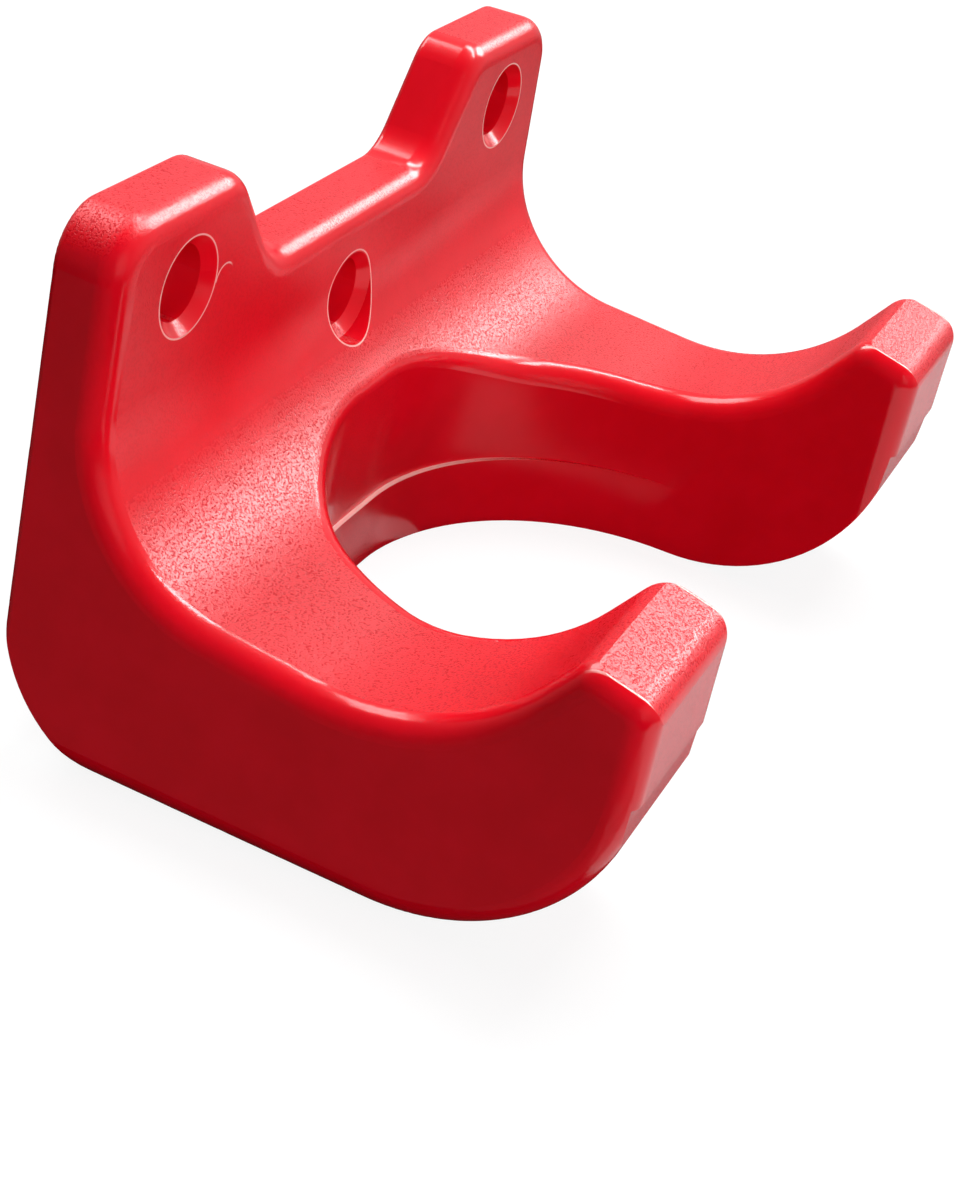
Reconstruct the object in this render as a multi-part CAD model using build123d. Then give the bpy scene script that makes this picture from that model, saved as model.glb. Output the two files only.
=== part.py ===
from build123d import *
import math
import os

# Overall sizes, in mm. x runs across the part, y towards the wall, z up.
# The wall face is y = 0 and heights are measured from the foot.
HEIGHT = 42.9
DEPTH = 50.5
PLATE = 5.9

# Half widths between the outer sides, which twist a little from the foot to the top of the ears.
FOOT_HALF_WALL = 39.9
FOOT_HALF_FRONT = 40.2
TOP_HALF_WALL = 36.6
TOP_HALF_FRONT = 41.0

# Side view: floor of the saddle, ramp to the tips, the flat on each tip and the round foot.
SADDLE_LOW_DEPTH = 25.2
SADDLE_LOW_Z = 15.7
FLOOR_FALL = 5.0
TIP_FLAT = 5.8
TIP_BACK_DEPTH = DEPTH - TIP_FLAT
TIP_BACK_Z = 26.9
TIP_FRONT_Z = 25.5
RAMP_ANGLE = 53.0
SADDLE_BACK_R = 12.4
SADDLE_FRONT_R = 18.6
TIP_BACK_R = 2.6
TIP_FRONT_R = 2.4
TIP_TRIM = 0.35
TIP_DIP = 0.03
FOOT_BACK_R = 12.2
FOOT_FRONT_R = 18.0
FOOT_DIP = 0.03

# Front view: two ears with a sloped notch between them.
NOTCH_DEPTH = 9.0
NOTCH_Z = HEIGHT - NOTCH_DEPTH
NOTCH_HALF = 13.6
NOTCH_SLOPE = 54.0
NOTCH_R = 4.8
EAR_INNER_R = 4.0
EAR_OUTER_R = 4.5

# Plan view: the slot between the arms, with a ledge round its back.
SLOT_BACK = 10.0
SLOT_HALF = 24.6
SLOT_R = 21.6
SLOT_LEDGE_Z = 6.8
SLOT_LEDGE = 0.4

# Screw holes: one through each ear and one lower on the centre line.
HOLE_R = 3.0
HOLE_MOUTH_R = 3.9
EAR_HOLE_X = 27.7
EAR_HOLE_DROP = 6.8
EAR_HOLE_Z = HEIGHT - EAR_HOLE_DROP
MID_HOLE_DROP = 16.7
MID_HOLE_Z = HEIGHT - MID_HOLE_DROP
MID_MOUTH = 6.0

# Rounded edges and the step under the mould line on the tips.
EDGE_R = 2.0
WALL_EDGE_R = 0.6
TIP_STEP_Z = 17.2
TIP_STEP = 0.4
TIP_STEP_DRAFT = 3.0

# Length of cutting shapes that run past the part.
REACH = 60.0


def half_width(depth: float, z: float) -> float:
    """Half the width between the outer sides at a depth from the wall and a height."""
    foot = FOOT_HALF_WALL + (FOOT_HALF_FRONT - FOOT_HALF_WALL) * depth / DEPTH
    top = TOP_HALF_WALL + (TOP_HALF_FRONT - TOP_HALF_WALL) * depth / DEPTH
    return foot + (top - foot) * z / HEIGHT


def rounded(corners: list, others: list) -> Face:
    """Closes an outline of corners and plain points, and rounds each corner by its own radius."""
    face = make_face(Polyline([(u, v) for u, v, _ in corners] + others, close=True))
    for u, v, radius in corners:
        if radius > 0:
            face = fillet(face.vertices().sort_by_distance((u, v, 0))[0], radius)
    return face


def side_view() -> Face:
    """Outline of the part seen from the side, in the y z plane, with a square foot."""
    fall = math.tan(math.radians(FLOOR_FALL))
    rise = math.tan(math.radians(RAMP_ANGLE))
    floor_at_plate = SADDLE_LOW_Z + fall * (SADDLE_LOW_DEPTH - PLATE)
    ramp = (SADDLE_LOW_Z + fall * SADDLE_LOW_DEPTH - TIP_BACK_Z + rise * TIP_BACK_DEPTH) / (rise + fall)
    ramp_z = TIP_BACK_Z - rise * (TIP_BACK_DEPTH - ramp)
    corners = [
        (-PLATE, HEIGHT, 0),
        (-PLATE, floor_at_plate, SADDLE_BACK_R),
        (-ramp, ramp_z, SADDLE_FRONT_R),
        (-TIP_BACK_DEPTH - TIP_TRIM / rise, TIP_BACK_Z + TIP_TRIM, TIP_BACK_R),
        (-DEPTH, TIP_FRONT_Z + TIP_TRIM, TIP_FRONT_R),
    ]
    return Plane.YZ * rounded(corners, [(-DEPTH, 0), (0, 0), (0, HEIGHT)])


def notch_view() -> Face:
    """Outline of the notch between the ears, in the x z plane, with its rounded corners."""
    top = NOTCH_HALF + (HEIGHT - NOTCH_Z) / math.tan(math.radians(NOTCH_SLOPE))
    corners = [
        (-top, -HEIGHT, EAR_INNER_R),
        (-NOTCH_HALF, -NOTCH_Z, NOTCH_R),
        (NOTCH_HALF, -NOTCH_Z, NOTCH_R),
        (top, -HEIGHT, EAR_INNER_R),
    ]
    side, over = top + 10, HEIGHT + 10
    others = [(side, -HEIGHT), (side, -over), (-side, -over), (-side, -HEIGHT)]
    return Rot(-90, 0, 0) * rounded(corners, others)


def slot_view(back: float) -> Face:
    """Outline of the slot between the arms, in the x y plane."""
    corners = [(-SLOT_HALF, -back, SLOT_R), (SLOT_HALF, -back, SLOT_R)]
    return rounded(corners, [(SLOT_HALF, -REACH), (-SLOT_HALF, -REACH)])


def width_at(z: float) -> Face:
    """Outline of the space between the outer sides at one height, in plan."""
    back, front = half_width(-2, z), half_width(REACH, z)
    outline = Polyline([(-back, 2), (back, 2), (front, -REACH), (-front, -REACH)], close=True)
    return Pos(0, 0, z) * make_face(outline)


def foot_cutter(depth: float, radius: float, inward: int, dip: float) -> Part:
    """Prism that leaves a round on one lower edge of the foot, with a faint crease at its ends for a dip."""
    keep = Pos(-depth + inward * radius, radius) * Circle(radius + dip)
    corner = Pos(-depth + inward * radius / 2, radius / 2) * Rectangle(radius, radius)
    return extrude(Plane.YZ * (corner - keep), amount=REACH, dir=(1, 0, 0), both=True)


def samples(edge: Edge) -> list:
    """Three points along an edge."""
    return [edge @ 0, edge @ 0.5, edge @ 1]


def on_side(edge: Edge) -> bool:
    """Tells if an edge lies in one of the outer sides."""
    return all(abs(abs(p.X) - half_width(-p.Y, p.Z)) < 0.02 for p in samples(edge))


def on_wall(edge: Edge) -> bool:
    """Tells if an edge lies in the wall face."""
    return all(abs(p.Y) < 0.01 for p in samples(edge))


def from_wall(edge: Edge) -> bool:
    """Tells if an edge runs from the wall face across the plate's thickness."""
    ends = sorted(p.Y for p in (edge @ 0, edge @ 1))
    return ends[1] > -0.01 and ends[0] > -PLATE - 0.01


def on_plate(edge: Edge) -> bool:
    """Tells if an edge bounds the plate's front face above the saddle."""
    return all(abs(p.Y + PLATE) < 0.01 and p.Z > NOTCH_Z - 0.01 for p in samples(edge))


def on_slot_rim(edge: Edge) -> bool:
    """Tells if an edge is the slot's upper rim, on the saddle or on the front of a tip."""
    points = samples(edge)
    if max(abs(p.X) for p in points) > SLOT_HALF + 0.01 or points[1].Y > -SLOT_BACK + 0.01:
        return False
    upright = abs(points[0].Y - points[2].Y) + abs(points[0].X - points[2].X) < 0.01
    if upright:
        return abs(points[1].Y + DEPTH) < 0.01
    across = abs(points[0].Y - points[2].Y) < 0.01 and abs(points[1].Y + SLOT_BACK) > 0.01
    return not across and points[1].Z > SLOT_LEDGE_Z + 1


def outer_form() -> Part:
    """Cuts the outer form: side view, outer sides, notch and the round ends of the ears."""
    body = extrude(side_view(), amount=REACH, dir=(1, 0, 0), both=True)
    body &= loft([width_at(-2), width_at(HEIGHT + 2)], ruled=True)
    body -= extrude(notch_view(), amount=REACH, dir=(0, 1, 0), both=True)
    ends = [e for e in body.edges() if on_side(e) and min(p.Z for p in samples(e)) > HEIGHT - 0.01]
    return fillet(ends, EAR_OUTER_R)


def cut_slot(body: Part) -> Part:
    """Cuts the slot, whose lower band stands a little proud at the back, and rounds its upper rim."""
    body -= Pos(0, 0, SLOT_LEDGE_Z) * extrude(slot_view(SLOT_BACK), amount=REACH)
    body -= extrude(slot_view(SLOT_BACK + SLOT_LEDGE), amount=SLOT_LEDGE_Z)
    return fillet([e for e in body.edges() if on_slot_rim(e)], EDGE_R)


def round_edges(body: Part) -> Part:
    """Rounds the foot, the outer edges and, by a smaller radius, the edges of the wall face."""
    body -= foot_cutter(DEPTH, FOOT_FRONT_R, 1, 0)
    outer = [e for e in body.edges() if not on_wall(e) and not from_wall(e) and (on_side(e) or on_plate(e))]
    body = fillet(outer, EDGE_R)
    body = fillet([e for e in body.edges() if on_wall(e) and (e @ 0.5).Z > 0.01], WALL_EDGE_R)
    return body - foot_cutter(0, FOOT_BACK_R, -1, FOOT_DIP)


def flat_z(depth: float) -> float:
    """Height of the flat on the tips, or of its plane, at a depth from the wall."""
    return TIP_BACK_Z + (TIP_FRONT_Z - TIP_BACK_Z) * (depth - TIP_BACK_DEPTH) / TIP_FLAT


def trim_tips(body: Part) -> Part:
    """Cuts the flat on each tip and its rounded front through the rounded edges, so that the flat has crisp sides."""
    back, front, foot = DEPTH - 3 * TIP_FLAT, DEPTH + TIP_DIP, TIP_BACK_Z / 2
    keep = rounded([(-front, flat_z(front), TIP_FRONT_R)], [(-front, foot), (-back, foot), (-back, flat_z(back))])
    over = Polyline([(-back, foot), (-back, HEIGHT), (-REACH, HEIGHT), (-REACH, foot)], close=True)
    return body - extrude(Plane.YZ * (make_face(over) - keep), amount=REACH, dir=(1, 0, 0), both=True)


def step_tips(body: Part) -> Part:
    """Sets the tips back a little under the mould line."""
    corner = Pos(0, -DEPTH + TIP_STEP, TIP_STEP_Z) * Rot(TIP_STEP_DRAFT, 0, 0)
    return body - corner * Pos(0, -REACH / 2, -REACH / 2) * Box(2 * REACH, REACH, REACH)


def drill(body: Part) -> Part:
    """Drills the three screw holes, each with a bevelled mouth that is open to the front."""
    bevel = HOLE_MOUTH_R - HOLE_R
    holes = ((-EAR_HOLE_X, EAR_HOLE_Z, PLATE), (EAR_HOLE_X, EAR_HOLE_Z, PLATE), (0, MID_HOLE_Z, MID_MOUTH))
    for x, z, mouth in holes:
        place = Pos(x, -mouth, z) * Rot(-90, 0, 0)
        body -= place * Cylinder(HOLE_R, REACH)
        body -= place * Pos(0, 0, bevel / 2) * Cone(HOLE_MOUTH_R, HOLE_R, bevel)
        body -= place * Pos(0, 0, -REACH / 4) * Cylinder(HOLE_MOUTH_R, REACH / 2)
    return body


# The origin is on the wall face, at the axis of the middle screw.
clip = Pos(0, 0, -MID_HOLE_Z) * drill(step_tips(trim_tips(round_edges(cut_slot(outer_form())))))
clip.label = "clip"

os.makedirs("parts", exist_ok=True)
export_step(clip, "parts/clip.step")
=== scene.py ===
"""A red moulded wall clip for hand tools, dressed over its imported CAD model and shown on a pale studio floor.

Everything is in metres, in the frame of the CAD model: x across the clip, y into the wall and z up, with the
origin on the wall face at the middle screw.
"""
import logging
import math
from abc import ABC, abstractmethod
from dataclasses import dataclass
from enum import Enum

import bpy
from mathutils import Matrix, Vector


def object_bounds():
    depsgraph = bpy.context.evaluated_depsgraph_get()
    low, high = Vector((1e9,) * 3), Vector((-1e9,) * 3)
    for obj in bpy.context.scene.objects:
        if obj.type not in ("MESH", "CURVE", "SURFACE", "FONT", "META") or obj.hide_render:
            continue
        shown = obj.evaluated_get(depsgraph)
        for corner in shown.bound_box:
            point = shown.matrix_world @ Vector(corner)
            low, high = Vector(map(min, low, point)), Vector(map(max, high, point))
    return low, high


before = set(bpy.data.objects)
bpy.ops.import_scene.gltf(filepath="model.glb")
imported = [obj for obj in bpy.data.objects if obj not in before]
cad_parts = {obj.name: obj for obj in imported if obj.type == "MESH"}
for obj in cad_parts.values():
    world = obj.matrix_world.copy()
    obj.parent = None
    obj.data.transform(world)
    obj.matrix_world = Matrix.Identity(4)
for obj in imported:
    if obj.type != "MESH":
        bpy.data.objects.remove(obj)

LOG = logging.getLogger("wall_clip")
CAD_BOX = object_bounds()
FOOT_Z = CAD_BOX[0][2]
# The lying cards are a hair below the floor, which no reflection shows.
CARD_GAP = 0.0003
CARD_Z = FOOT_Z - CARD_GAP

Colour = tuple[float, float, float]
Output = bpy.types.NodeSocket
Point = tuple[float, float, float]
Range = tuple[float, float]
Source = Output | float

BLACK: Colour = (0.0, 0.0, 0.0)
WHITE: Colour = (1.0, 1.0, 1.0)
RISING: Range = (0.0, 1.0)
FALLING: Range = (1.0, 0.0)


class Panel(Enum):
    """Light panels of the studio."""

    OVERHEAD = "overhead_panel"
    BACK = "back_panel"
    FILL = "fill_panel"
    STREAK = "streak_panel"
    GLINT = "glint_panel"


class Reach(Enum):
    """What a panel lights."""

    SHADING = "soft shading alone"
    REFLECTIONS = "reflections alone"
    BOTH = "shading and reflections"


def opaque(colour: Colour) -> tuple[float, float, float, float]:
    """Adds a full alpha to a colour, as colour sockets take it."""
    return (*colour, 1.0)


class NodeBench:
    """Adds nodes to one node tree and joins them, so that a material reads as a list of steps."""

    # The Mix node has a set of sockets for each kind of data. These are the ones for colours.
    mix_inputs = (0, 6, 7)
    mix_output = 2

    def __init__(self, tree: bpy.types.NodeTree) -> None:
        """Keeps the tree that the nodes go into.

        Args:
            tree: Node tree of a material or of the world.
        """
        self.tree = tree

    def add(self, kind: str, **settings: object) -> bpy.types.Node:
        """Adds one node.

        Args:
            kind: Blender's name for the kind of node.
            settings: Properties to set on the node.

        Returns:
            The new node.
        """
        node = self.tree.nodes.new(kind)
        for name, value in settings.items():
            setattr(node, name, value)
        return node

    def feed(self, socket: bpy.types.NodeSocket, source: object) -> None:
        """Gives an input its source.

        Args:
            socket: Input to feed.
            source: Another node's output, which is linked, or a value, which is set.
        """
        if isinstance(source, bpy.types.NodeSocket):
            self.tree.links.new(source, socket)
        else:
            socket.default_value = source

    def split(self, vector: Output) -> tuple[Output, Output, Output]:
        """Splits a vector.

        Args:
            vector: Output that holds the vector.

        Returns:
            The outputs for x, y and z.
        """
        node = self.add("ShaderNodeSeparateXYZ")
        self.feed(node.inputs[0], vector)
        return tuple(node.outputs)

    def math(self, operation: str, *sources: Source, clamp: bool = False) -> Output:
        """Adds a Math node.

        Args:
            operation: Blender's name for the operation.
            sources: Its inputs in order, each an output or a number.
            clamp: Whether the result is kept between 0 and 1.

        Returns:
            The output of the node.
        """
        node = self.add("ShaderNodeMath", operation=operation, use_clamp=clamp)
        for socket, source in zip(node.inputs, sources):
            self.feed(socket, source)
        return node.outputs[0]

    def product(self, first: Source, *others: Source) -> Output:
        """Multiplies values.

        Args:
            first: The first of the values.
            others: The other values.

        Returns:
            The output of the last node.
        """
        result = first
        for other in others:
            result = self.math("MULTIPLY", result, other)
        return result

    def ramp(self, value: Source, span: Range, ends: Range = RISING) -> Output:
        """Maps a value smoothly from one range to another.

        Args:
            value: Output or number to map.
            span: Values between which the result changes.
            ends: Results at the two ends of the span, and past them.

        Returns:
            The output of the node.
        """
        node = self.add("ShaderNodeMapRange", interpolation_type="SMOOTHSTEP")
        names = ("Value", "From Min", "From Max", "To Min", "To Max")
        for name, source in zip(names, (value, *span, *ends)):
            self.feed(node.inputs[name], source)
        return node.outputs["Result"]

    def blend(self, factor: Source, first: object, second: object) -> Output:
        """Mixes two colours.

        Args:
            factor: Share of the second colour.
            first: Colour at a share of 0.
            second: Colour at a share of 1.

        Returns:
            The output of the node.
        """
        node = self.add("ShaderNodeMix", data_type="RGBA")
        for index, source in zip(self.mix_inputs, (factor, first, second)):
            self.feed(node.inputs[index], source)
        return node.outputs[self.mix_output]


class Surface:
    """Where a point of the clip is and which way it faces, as outputs that masks are worked out from."""

    def __init__(self, bench: NodeBench) -> None:
        """Adds the nodes that read the place and the surface normal.

        Args:
            bench: Bench of the material.
        """
        self.place = bench.add("ShaderNodeTexCoord").outputs["Object"]
        self.x, self.y, self.z = bench.split(self.place)
        normal = bench.add("ShaderNodeNewGeometry").outputs["Normal"]
        self.face_x, self.face_y, self.face_z = bench.split(normal)


@dataclass(frozen=True, kw_only=True)
class PaleLine(ABC):
    """Thin pale line on the clip, as a change of colour: full at its core and fading to its sides. Most such
    lines are painted highlights.
    """

    half: float
    core: float = 0.4

    def band(self, bench: NodeBench, offset: Output) -> Output:
        """Turns an offset from the line's middle into a mask that is 1 on its core."""
        return bench.ramp(bench.math("ABSOLUTE", offset), (self.half * self.core, self.half), FALLING)

    @abstractmethod
    def mask(self, bench: NodeBench, surface: Surface) -> Output:
        """Finds where the line lies.

        Args:
            bench: Bench of the material.
            surface: Place and facing of the surface.

        Returns:
            A mask of 1 on the line.
        """


@dataclass(frozen=True, kw_only=True)
class ArcLine(PaleLine):
    """Line on the plate's front, along a circle round a screw axis, as the painted highlight on a hole's rim,
    or along a part of a circle, as the hairline mark.

    The default limits of a part lie far past the clip, so that they leave the circle whole.
    """

    x: float
    z: float
    radius: float
    half: float = 0.00009
    from_z: float = -1.0
    from_fade: float = 0.0003
    to_x: float = 1.0
    to_fade: float = 0.0006
    front: Range = (-0.3, -0.7)

    def mask(self, bench: NodeBench, surface: Surface) -> Output:
        """Finds where the line lies.

        Args:
            bench: Bench of the material.
            surface: Place and facing of the surface.

        Returns:
            A mask of 1 on the line.
        """
        across = bench.math("SUBTRACT", surface.x, self.x)
        up = bench.math("SUBTRACT", surface.z, self.z)
        square = bench.math("ADD", bench.product(across, across), bench.product(up, up))
        line = self.band(bench, bench.math("SUBTRACT", bench.math("SQRT", square), self.radius))
        front = bench.ramp(surface.face_y, self.front)
        begun = bench.ramp(surface.z, (self.from_z, self.from_z + self.from_fade))
        ended = bench.ramp(surface.x, (self.to_x - self.to_fade, self.to_x), FALLING)
        return bench.product(line, front, begun, ended)


@dataclass(frozen=True, kw_only=True)
class TipEdgeHighlight(PaleLine):
    """Painted highlight along the crisp side of the flat on a tip, on both tips."""

    x: float
    half: float = 0.00012
    core: float = 0.5
    flat: Range = (0.6, 0.9)
    tip_y: Range = (-0.0447, -0.0445)
    from_z: float = -0.0035

    def mask(self, bench: NodeBench, surface: Surface) -> Output:
        """Finds where the line lies.

        Args:
            bench: Bench of the material.
            surface: Place and facing of the surface.

        Returns:
            A mask of 1 on the line.
        """
        line = self.band(bench, bench.math("SUBTRACT", bench.math("ABSOLUTE", surface.x), self.x))
        flat = bench.ramp(surface.face_z, self.flat)
        tip = bench.ramp(surface.y, self.tip_y, FALLING)
        high = bench.math("GREATER_THAN", surface.z, self.from_z)
        return bench.product(line, flat, tip, high)


@dataclass(frozen=True, kw_only=True)
class PartingLineHighlight(PaleLine):
    """Painted highlight on the ledge where the two halves of the mould meet on the slot's wall, fading from the
    left to the right.
    """

    z: float
    half: float = 0.00010
    slot_half: float = 0.0249
    slot_back: float = -0.0095
    back_y: Range = (-0.034, -0.028)
    fade_x: Range = (0.012, 0.0215)

    def mask(self, bench: NodeBench, surface: Surface) -> Output:
        """Finds where the line lies.

        Args:
            bench: Bench of the material.
            surface: Place and facing of the surface.

        Returns:
            A mask of 1 on the strong end of the line.
        """
        line = self.band(bench, bench.math("SUBTRACT", surface.z, self.z))
        between = bench.math("LESS_THAN", bench.math("ABSOLUTE", surface.x), self.slot_half)
        inside = bench.math("LESS_THAN", surface.y, self.slot_back)
        back = bench.ramp(surface.y, self.back_y)
        fade = bench.ramp(surface.x, self.fade_x, FALLING)
        return bench.product(line, between, inside, back, fade)


@dataclass(frozen=True)
class MouldedPlastic:
    """Satin moulded plastic: grained on faces that look up or to the front, smooth on the drawn walls."""

    name: str
    body: Colour
    deep: Colour
    # Colour of the pale lines, most of them painted highlights.
    pale: Colour
    lines: tuple[PaleLine, ...]
    # Pebbles of the grain and slow mottle of the colour, with the noise values that each rises between.
    pebble: float = 0.00020
    pebble_rise: Range = (0.36, 0.54)
    mottle: float = 0.008
    mottle_rise: Range = (0.3, 0.7)
    noise_detail: float = 3.0
    noise_roughness: float = 0.6
    # Relief of the grain, how much shade is painted into its pits and how much duller its pits are.
    grain_depth: float = 0.000016
    grain_strength: float = 0.9
    pit_shade: float = 0.26
    pit_dulling: float = 0.4
    # Where the grain lies: by the way that a face looks, then at the ends of the ears and at their edges.
    upward: Range = (0.3, 0.75)
    forward: Range = (-0.85, -0.98)
    forward_share: float = 0.4
    sideways: Range = (0.04, 0.14)
    end_x: Range = (0.0305, 0.0320)
    end_z: Range = (0.010, 0.012)
    edge_lean: Range = (-0.10, -0.25)
    edge_z: Range = (0.0050, 0.0058)
    edge_polish: float = 0.5
    # Shine of the surface and the soft glow at thin edges.
    smooth_roughness: float = 0.17
    grained_roughness: float = 0.34
    speckle: float = 0.06
    specular: float = 0.5
    refraction: float = 1.5
    glow: float = 0.30
    glow_tint: Colour = (1.0, 0.12, 0.12)
    glow_reach: float = 0.0020

    def grained(self, bench: NodeBench, surface: Surface) -> Output:
        """Finds where the mould is textured.

        Args:
            bench: Bench of the material.
            surface: Place and facing of the surface.

        Returns:
            A mask of 1 on faces that look up, less on the plate's front and 0 on the walls along the draw.
        """
        upward = bench.ramp(surface.face_z, self.upward)
        forward = bench.ramp(surface.face_y, self.forward, (0.0, self.forward_share))
        level = bench.ramp(bench.math("ABSOLUTE", surface.face_x), self.sideways, FALLING)
        outer = bench.ramp(bench.math("ABSOLUTE", surface.x), self.end_x)
        ear_end = bench.product(outer, bench.ramp(surface.z, self.end_z))
        leaning = bench.ramp(surface.face_y, self.edge_lean, (0.0, self.edge_polish))
        polished = bench.product(leaning, bench.ramp(surface.z, self.edge_z))
        textured = bench.math("SUBTRACT", upward, polished, clamp=True)
        return bench.product(
            bench.math("MAXIMUM", textured, forward),
            bench.math("MAXIMUM", level, ear_end),
        )

    def noise(self, bench: NodeBench, surface: Surface, size: float, rise: Range) -> Output:
        """Makes a noise over the clip.

        Args:
            bench: Bench of the material.
            surface: Place and facing of the surface.
            size: Size of its patches.
            rise: Noise values between which it goes from 0 to 1.

        Returns:
            The noise, from 0 to 1.
        """
        node = bench.add("ShaderNodeTexNoise")
        bench.feed(node.inputs["Vector"], surface.place)
        bench.feed(node.inputs["Scale"], 1.0 / size)
        bench.feed(node.inputs["Detail"], self.noise_detail)
        bench.feed(node.inputs["Roughness"], self.noise_roughness)
        return bench.ramp(node.outputs["Fac"], rise)

    def colour(self, bench: NodeBench, surface: Surface, pits: Output) -> Output:
        """Mixes the colour of the plastic, the shade painted into its pits and its pale lines, most of them
        painted highlights.

        Args:
            bench: Bench of the material.
            surface: Place and facing of the surface.
            pits: Mask of the pits in the grain.

        Returns:
            The colour.
        """
        mottle = self.noise(bench, surface, self.mottle, self.mottle_rise)
        plain = bench.blend(mottle, opaque(self.deep), opaque(self.body))
        # Shade painted into the pits of the grain.
        pitted = bench.blend(bench.product(pits, self.pit_shade), plain, opaque(BLACK))
        # Pale lines: painted highlights, apart from the hairline mark.
        highlights_and_hairline = 0.0
        for line in self.lines:
            highlights_and_hairline = bench.math("MAXIMUM", highlights_and_hairline, line.mask(bench, surface))
        return bench.blend(highlights_and_hairline, pitted, opaque(self.pale))

    def relief(self, bench: NodeBench, height: Output, mask: Output) -> Output:
        """Raises the grain.

        Args:
            bench: Bench of the material.
            height: Height of the grain.
            mask: Mask of the textured faces.

        Returns:
            The surface normal with the grain.
        """
        bump = bench.add("ShaderNodeBump")
        bench.feed(bump.inputs["Distance"], self.grain_depth)
        bench.feed(bump.inputs["Height"], height)
        bench.feed(bump.inputs["Strength"], bench.product(mask, self.grain_strength))
        return bump.outputs["Normal"]

    def material(self) -> bpy.types.Material:
        """Builds the material.

        Returns:
            The finished material.
        """
        made = bpy.data.materials.new(self.name)
        made.use_nodes = True
        bench = NodeBench(made.node_tree)
        surface = Surface(bench)
        mask = self.grained(bench, surface)
        height = self.noise(bench, surface, self.pebble, self.pebble_rise)
        pits = bench.product(bench.math("SUBTRACT", 1.0, height), mask)
        smooth = self.smooth_roughness - self.speckle / 2.0
        speckled = bench.math("MULTIPLY_ADD", height, self.speckle, smooth)
        rougher = self.grained_roughness - self.smooth_roughness
        sockets = {
            "Base Color": self.colour(bench, surface, pits),
            "Roughness": bench.math("MULTIPLY_ADD", mask, rougher, speckled),
            "Specular IOR Level": bench.math("MULTIPLY_ADD", pits, -self.pit_dulling, self.specular),
            "Normal": self.relief(bench, height, mask),
            "IOR": self.refraction,
            "Subsurface Weight": self.glow,
            "Subsurface Radius": self.glow_tint,
            "Subsurface Scale": self.glow_reach,
        }
        shader = made.node_tree.nodes["Principled BSDF"]
        for name, source in sockets.items():
            bench.feed(shader.inputs[name], source)
        return made


@dataclass(frozen=True)
class Clip:
    """The clip itself: one moulded piece with an eared plate, a saddle and two arms."""

    node: str = "clip"
    finish: str = "satin_red_plastic"
    body: Colour = (0.80, 0.0025, 0.014)
    deep: Colour = (0.73, 0.002, 0.011)
    # Colour of the pale lines, most of them painted highlights.
    pale: Colour = (0.95, 0.50, 0.46)
    # Radii of the screw holes and of the painted highlights on their rims, and the places of the holes in the
    # ears.
    bore: float = 0.0030
    mouth: float = 0.00397
    ear_x: float = 0.0277
    ear_z: float = 0.0099
    # Hairline beside one hole: an arc that bends over from the rim.
    hair_x: float = -0.0224
    hair_z: float = 0.0088
    hair_radius: float = 0.0013
    hair_end: float = -0.0213
    # Ledge in the slot and the crisp sides of the flats on the tips, both of which get painted highlights.
    ledge_z: float = -0.0194
    tip_outer: float = 0.03953
    tip_inner: float = 0.02557

    def holes(self) -> tuple[Range, Range, Range]:
        """Lists the screw axes as x and z: one in each ear and one in the middle."""
        return (-self.ear_x, self.ear_z), (self.ear_x, self.ear_z), (0.0, 0.0)

    def lines(self) -> tuple[PaleLine, ...]:
        """Lists the pale lines, most of them painted highlights.

        Returns:
            The painted highlights on the rims of the holes, the sides of the flats and the parting line, and
            the hairline mark.
        """
        # Painted highlights on the rims of the holes, the sides of the flats and the parting ledge; the
        # hairline is a mark.
        rims = [ArcLine(x=x, z=z, radius=self.mouth) for x, z in self.holes()]
        hairline = ArcLine(
            x=self.hair_x, z=self.hair_z, radius=self.hair_radius, from_z=self.hair_z, to_x=self.hair_end
        )
        sides = [TipEdgeHighlight(x=x) for x in (self.tip_outer, self.tip_inner)]
        return (*rims, hairline, *sides, PartingLineHighlight(z=self.ledge_z))

    def dress(self) -> bpy.types.Object:
        """Gives the CAD piece its finish.

        Returns:
            The dressed object.
        """
        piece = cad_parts[self.node]
        plastic = MouldedPlastic(self.finish, self.body, self.deep, self.pale, self.lines())
        piece.data.materials.clear()
        piece.data.materials.append(plastic.material())
        return piece


@dataclass(frozen=True)
class PanelPlan:
    """Plan of a soft light panel: the place of its middle, its width and height, and its power in watts."""

    role: Panel
    place: Point
    size: Range
    power: float
    reach: Reach


@dataclass(frozen=True)
class CardPlan:
    """Plan of a white card: its two ends along x, and its first and last edge, each at a y and a z."""

    name: str
    x: Range
    start: Range
    end: Range
    glow: float

    def corners(self) -> list[Point]:
        """Lists the corners of the card, anticlockwise as seen from its front."""
        first, last = self.x
        return [(first, *self.start), (last, *self.start), (last, *self.end), (first, *self.end)]


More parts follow.
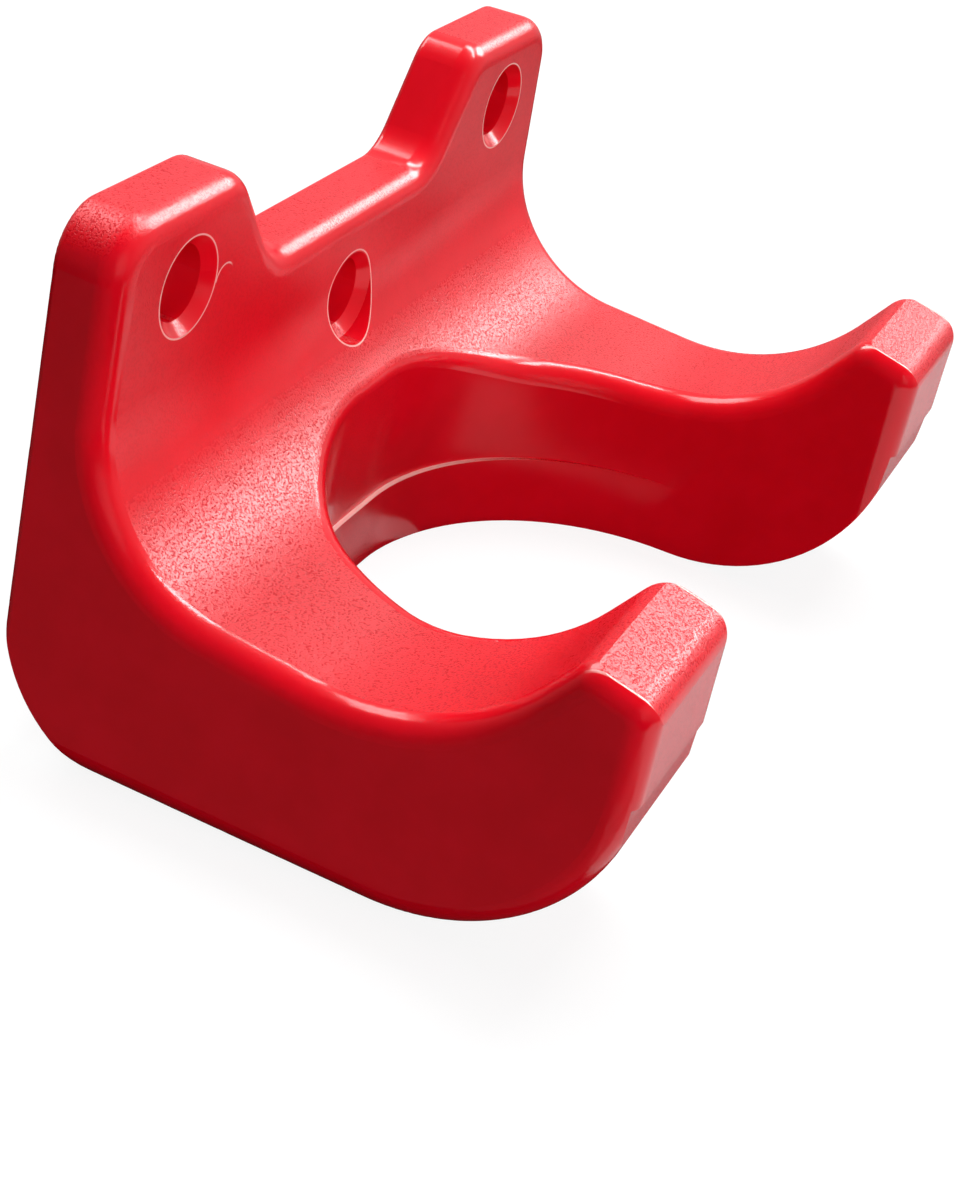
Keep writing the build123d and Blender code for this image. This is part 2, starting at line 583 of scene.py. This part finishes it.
@dataclass(frozen=True)
class Studio:
    """Pale floor, soft light panels and a surround that is bright on the right and dim on the left.

    White cards that are seen only in reflections, and screens that only cast shade, help the panels.
    """

    aim: Point = (0.0, -0.025, -0.005)
    # The floor gives some light of its own, so that it is pale and keeps only a faint shadow.
    floor_half: float = 60.0
    floor_colour: Colour = (0.15, 0.15, 0.15)
    floor_roughness: float = 0.9
    floor_lift: float = 0.87
    # Brightness of the surround, and the parts of a direction along which it changes.
    surround: Range = (0.06, 0.55)
    surround_x: Range = (-0.6, 0.7)
    surround_below: float = 0.04
    surround_z: Range = (-0.35, 0.1)
    # Screens in the bores, as discs a little smaller than them, and one before the slot.
    disc_gap: float = 0.00005
    disc_sides: int = 32
    disc_y: float = -0.0003
    screen_x: Range = (-0.015, -0.003)
    screen_top: float = -0.003
    screen_y: float = -0.049
    panels: tuple[PanelPlan, ...] = (
        PanelPlan(Panel.OVERHEAD, (0.34, -0.05, 0.79), size=(0.42, 0.42), power=5.8, reach=Reach.SHADING),
        PanelPlan(Panel.BACK, (0.20, 0.52, 0.68), size=(0.45, 0.45), power=4.4, reach=Reach.BOTH),
        PanelPlan(Panel.FILL, (-0.52, -0.74, 0.30), size=(0.6, 0.6), power=6.2, reach=Reach.SHADING),
        PanelPlan(Panel.STREAK, (0.46, -0.15, 0.78), size=(0.75, 0.10), power=6.0, reach=Reach.REFLECTIONS),
        PanelPlan(Panel.GLINT, (0.78, -0.31, 0.55), size=(0.42, 0.36), power=9.0, reach=Reach.REFLECTIONS),
    )
    cards: tuple[CardPlan, ...] = (
        CardPlan("front_card", x=(-0.06, 0.14), start=(-0.16, CARD_Z), end=(-0.054, CARD_Z), glow=1.0),
        CardPlan("side_card", x=(-0.16, -0.043), start=(-0.08, CARD_Z), end=(0.08, CARD_Z), glow=0.10),
        CardPlan("right_card", x=(0.088, 0.17), start=(-0.06, CARD_Z), end=(-0.02, CARD_Z), glow=0.4),
        CardPlan("slot_card", x=(0.0165, 0.0125), start=(-0.0291, CARD_Z), end=(-0.0321, -0.0195), glow=0.45),
        CardPlan("ledge_card", x=(0.001, 0.0115), start=(-0.0148, CARD_Z), end=(-0.0118, CARD_Z), glow=0.75),
        CardPlan("plate_card", x=(0.001, -0.008), start=(-0.026, -0.024), end=(-0.026, -0.004), glow=0.9),
    )

    @staticmethod
    def sheet(name: str, corners: list[Point]) -> bpy.types.Object:
        """Makes a flat object of one face.

        Args:
            name: Name of the object.
            corners: Its corners in order.

        Returns:
            The object, linked to the scene.
        """
        mesh = bpy.data.meshes.new(name)
        mesh.from_pydata(corners, [], [tuple(range(len(corners)))])
        made = bpy.data.objects.new(name, mesh)
        bpy.context.collection.objects.link(made)
        return made

    def floor(self) -> bpy.types.Object:
        """Builds the floor under the clip's foot.

        Returns:
            The floor.
        """
        half = self.floor_half
        corners = [(-half, -half), (half, -half), (half, half), (-half, half)]
        plane = self.sheet("floor", [(x, y, FOOT_Z) for x, y in corners])
        plane.visible_diffuse = plane.visible_glossy = False
        made = bpy.data.materials.new("pale_floor")
        made.use_nodes = True
        sockets = {
            "Base Color": opaque(self.floor_colour),
            "Roughness": self.floor_roughness,
            "Specular IOR Level": 0.0,
            "Emission Color": opaque(WHITE),
            "Emission Strength": self.floor_lift,
        }
        shader = made.node_tree.nodes["Principled BSDF"]
        for name, value in sockets.items():
            shader.inputs[name].default_value = value
        plane.data.materials.append(made)
        return plane

    def world(self) -> bpy.types.World:
        """Sets the surround.

        Returns:
            The world of the scene.
        """
        world = bpy.data.worlds.new("studio_surround")
        world.use_nodes = True
        bench = NodeBench(world.node_tree)
        across, _, up = bench.split(bench.add("ShaderNodeTexCoord").outputs["Generated"])
        glow = bench.ramp(across, self.surround_x, self.surround)
        above = bench.ramp(up, self.surround_z, (self.surround_below, 1.0))
        background = world.node_tree.nodes["Background"]
        background.inputs["Color"].default_value = opaque(WHITE)
        bench.feed(background.inputs["Strength"], bench.product(glow, above))
        bpy.context.scene.world = world
        return world

    def panel(self, plan: PanelPlan) -> bpy.types.Object:
        """Hangs one soft light panel that faces the clip.

        Args:
            plan: Plan of the panel.

        Returns:
            The light.
        """
        light = bpy.data.lights.new(plan.role.value, "AREA")
        light.shape = "RECTANGLE"
        light.size, light.size_y = plan.size
        light.energy = plan.power
        lamp = bpy.data.objects.new(plan.role.value, light)
        lamp.location = plan.place
        lamp.rotation_euler = (Vector(self.aim) - Vector(plan.place)).to_track_quat("-Z", "Y").to_euler()
        lamp.visible_diffuse = plan.reach is not Reach.REFLECTIONS
        lamp.visible_glossy = plan.reach is not Reach.SHADING
        bpy.context.collection.objects.link(lamp)
        return lamp

    def card(self, plan: CardPlan) -> bpy.types.Object:
        """Sets up a white card that is seen only in the clip's reflections, and only from its front.

        Args:
            plan: Plan of the card.

        Returns:
            The card.
        """
        card = self.sheet(plan.name, plan.corners())
        card.visible_camera = card.visible_diffuse = card.visible_shadow = False
        made = bpy.data.materials.new(plan.name)
        made.use_nodes = True
        nodes = made.node_tree.nodes
        nodes.remove(nodes["Principled BSDF"])
        bench = NodeBench(made.node_tree)
        light = bench.add("ShaderNodeEmission")
        light.inputs["Strength"].default_value = plan.glow
        back = bench.add("ShaderNodeNewGeometry").outputs["Backfacing"]
        clear = bench.add("ShaderNodeBsdfTransparent")
        side = bench.add("ShaderNodeMixShader")
        for socket, source in zip(side.inputs, (back, light.outputs[0], clear.outputs[0])):
            bench.feed(socket, source)
        bench.feed(nodes["Material Output"].inputs["Surface"], side.outputs[0])
        card.data.materials.append(made)
        return card

    def flag(self, name: str, outline: list[Range], y: float) -> bpy.types.Object:
        """Hangs an upright screen that only casts shade, to keep light out of a bore or the slot.

        Args:
            name: Name of the screen.
            outline: Its corners, as x and z.
            y: Its place along the depth of the clip.

        Returns:
            The screen.
        """
        screen = self.sheet(name, [(x, y, z) for x, z in outline])
        screen.visible_camera = screen.visible_diffuse = screen.visible_glossy = False
        return screen

    def flags(self, clip: Clip) -> list[bpy.types.Object]:
        """Hangs a screen in each bore and one before the slot.

        Args:
            clip: The clip, for its screw holes.

        Returns:
            The screens.
        """
        radius = clip.bore - self.disc_gap
        turns = [2.0 * math.pi * step / self.disc_sides for step in range(self.disc_sides)]
        screens = []
        for index, (x, z) in enumerate(clip.holes(), start=1):
            disc = [(x + radius * math.cos(turn), z + radius * math.sin(turn)) for turn in turns]
            screens.append(self.flag(f"bore_flag_{index}", disc, self.disc_y))
        left, right = self.screen_x
        outline = [(left, CARD_Z), (right, CARD_Z), (right, self.screen_top), (left, self.screen_top)]
        screens.append(self.flag("slot_flag", outline, self.screen_y))
        return screens


@dataclass(frozen=True)
class PhotoCamera:
    """Camera of the photograph, as solved from the clip's outline, holes and edges.

    The lens and the sensor are in millimetres and the roll is in degrees.
    """

    place: Point = (-0.15806, -0.07646, 0.07830)
    aim: Point = (-0.00438, -0.02458, -0.02065)
    roll: float = 12.07
    lens: float = 44.473
    sensor_height: float = 24.0
    nearest: float = 0.005

    def make(self) -> bpy.types.Object:
        """Builds the camera and makes it the scene's own.

        Returns:
            The camera.
        """
        data = bpy.data.cameras.new("photo_camera")
        data.sensor_fit = "VERTICAL"
        data.sensor_height = self.sensor_height
        data.lens = self.lens
        data.clip_start = self.nearest
        camera = bpy.data.objects.new("photo_camera", data)
        facing = (Vector(self.aim) - Vector(self.place)).to_track_quat("-Z", "Y").to_matrix().to_4x4()
        roll = Matrix.Rotation(math.radians(self.roll), 4, "Z")
        camera.matrix_world = Matrix.Translation(self.place) @ facing @ roll
        bpy.context.collection.objects.link(camera)
        bpy.context.scene.camera = camera
        return camera


def main() -> None:
    """Builds the camera, the clip and the studio in order."""
    logging.basicConfig(level=logging.INFO, format="%(name)s: %(message)s")
    bpy.context.scene.view_settings.view_transform = "Standard"
    camera = PhotoCamera().make()
    LOG.info("camera %s, lens %.1f mm", camera.name, camera.data.lens)
    clip = Clip()
    piece = clip.dress()
    LOG.info("dressed %s with %s", piece.name, piece.data.materials[0].name)
    studio = Studio()
    plane = studio.floor()
    LOG.info("floor %s at %.4f m", plane.name, FOOT_Z)
    surround = studio.world()
    LOG.info("surround %s", surround.name)
    for plan in studio.panels:
        lamp = studio.panel(plan)
        LOG.info("panel %s for %s", lamp.name, plan.reach.value)
    for plan in studio.cards:
        card = studio.card(plan)
        LOG.info("card %s", card.name)
    for screen in studio.flags(clip):
        LOG.info("screen %s", screen.name)


if __name__ == "__main__":
    main()
